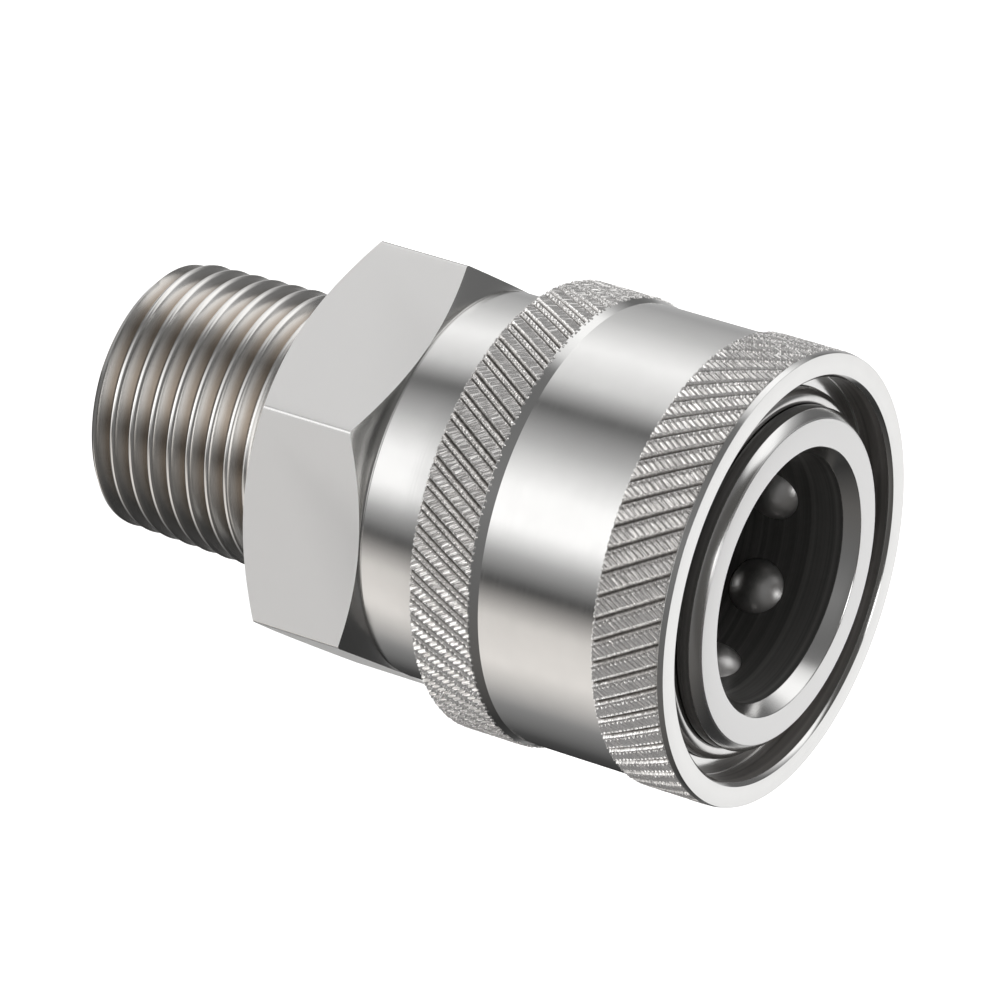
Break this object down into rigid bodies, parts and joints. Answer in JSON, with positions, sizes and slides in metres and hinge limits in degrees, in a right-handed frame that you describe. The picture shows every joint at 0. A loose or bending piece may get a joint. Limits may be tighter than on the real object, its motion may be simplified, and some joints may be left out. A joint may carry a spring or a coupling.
{
  "type": "pressure washer hose coupler",
  "caption": "Quick-connect socket for a high-pressure hose, with a ring of locking balls under a sprung, knurled collar, a wrench hexagon and a tapered male pipe thread.",
  "frame": {"origin": "centre of the thread's end face, which the part stands on", "axes": "+Z along the coupler's axis, from the thread towards the socket's mouth; +X square to a flat of the hexagon, so that -Y runs through one of its corners"},
  "size_m": [0.0278, 0.0278, 0.0447],
  "materials": {
    "turned_steel": "bright turned stainless steel",
    "collar_steel": "bright turned and knurled stainless steel",
    "wire_steel": "smooth drawn wire",
    "ball_steel": "polished",
    "seal_rubber": "dull black nitrile"
  },
  "bodies": {
    "body": {"body": "turned_steel", "return_spring": "wire_steel", "plug_seal": "seal_rubber"},
    "ring": {"retaining_ring": "wire_steel"},
    "collar": {"collar": "collar_steel"},
    "ball_1": {"lock_ball_1": "ball_steel"},
    "ball_2": {"lock_ball_2": "ball_steel"},
    "ball_3": {"lock_ball_3": "ball_steel"},
    "ball_4": {"lock_ball_4": "ball_steel"},
    "ball_5": {"lock_ball_5": "ball_steel"},
    "ball_6": {"lock_ball_6": "ball_steel"},
    "ball_7": {"lock_ball_7": "ball_steel"},
    "ball_8": {"lock_ball_8": "ball_steel"}
  },
  "joints": [
    {"name": "collar_turn", "type": "hinge", "parent": "body", "child": "ring", "pos_m": [0, 0, 0.0426], "axis": [0, 0, 1], "continuous": true},
    {"name": "collar_slide", "type": "slide", "parent": "ring", "child": "collar", "axis": [0, 0, -1], "range_m": [0, 0.0047], "stiffness_N_per_m": 3000, "springref_m": -0.004, "deforming": ["return_spring"]},
    {"name": "ball_1_slide", "type": "slide", "parent": "body", "child": "ball_1", "axis": [0.999, -0.0436, 0], "range_m": [0, 0.00095]},
    {"name": "ball_2_slide", "type": "slide", "parent": "body", "child": "ball_2", "axis": [0.7373, 0.6756, 0], "range_m": [0, 0.00095]},
    {"name": "ball_3_slide", "type": "slide", "parent": "body", "child": "ball_3", "axis": [0.0436, 0.999, 0], "range_m": [0, 0.00095]},
    {"name": "ball_4_slide", "type": "slide", "parent": "body", "child": "ball_4", "axis": [-0.6756, 0.7373, 0], "range_m": [0, 0.00095]},
    {"name": "ball_5_slide", "type": "slide", "parent": "body", "child": "ball_5", "axis": [-0.999, 0.0436, 0], "range_m": [0, 0.00095]},
    {"name": "ball_6_slide", "type": "slide", "parent": "body", "child": "ball_6", "axis": [-0.7373, -0.6756, 0], "range_m": [0, 0.00095]},
    {"name": "ball_7_slide", "type": "slide", "parent": "body", "child": "ball_7", "axis": [-0.0436, -0.999, 0], "range_m": [0, 0.00095]},
    {"name": "ball_8_slide", "type": "slide", "parent": "body", "child": "ball_8", "axis": [0.6756, -0.7373, 0], "range_m": [0, 0.00095]}
  ],
  "couplings": [
    {"joint": "ball_1_slide", "follows": "collar_slide", "ratio": 0.2},
    {"joint": "ball_2_slide", "follows": "collar_slide", "ratio": 0.2},
    {"joint": "ball_3_slide", "follows": "collar_slide", "ratio": 0.2},
    {"joint": "ball_4_slide", "follows": "collar_slide", "ratio": 0.2},
    {"joint": "ball_5_slide", "follows": "collar_slide", "ratio": 0.2},
    {"joint": "ball_6_slide", "follows": "collar_slide", "ratio": 0.2},
    {"joint": "ball_7_slide", "follows": "collar_slide", "ratio": 0.2},
    {"joint": "ball_8_slide", "follows": "collar_slide", "ratio": 0.2}
  ]
}
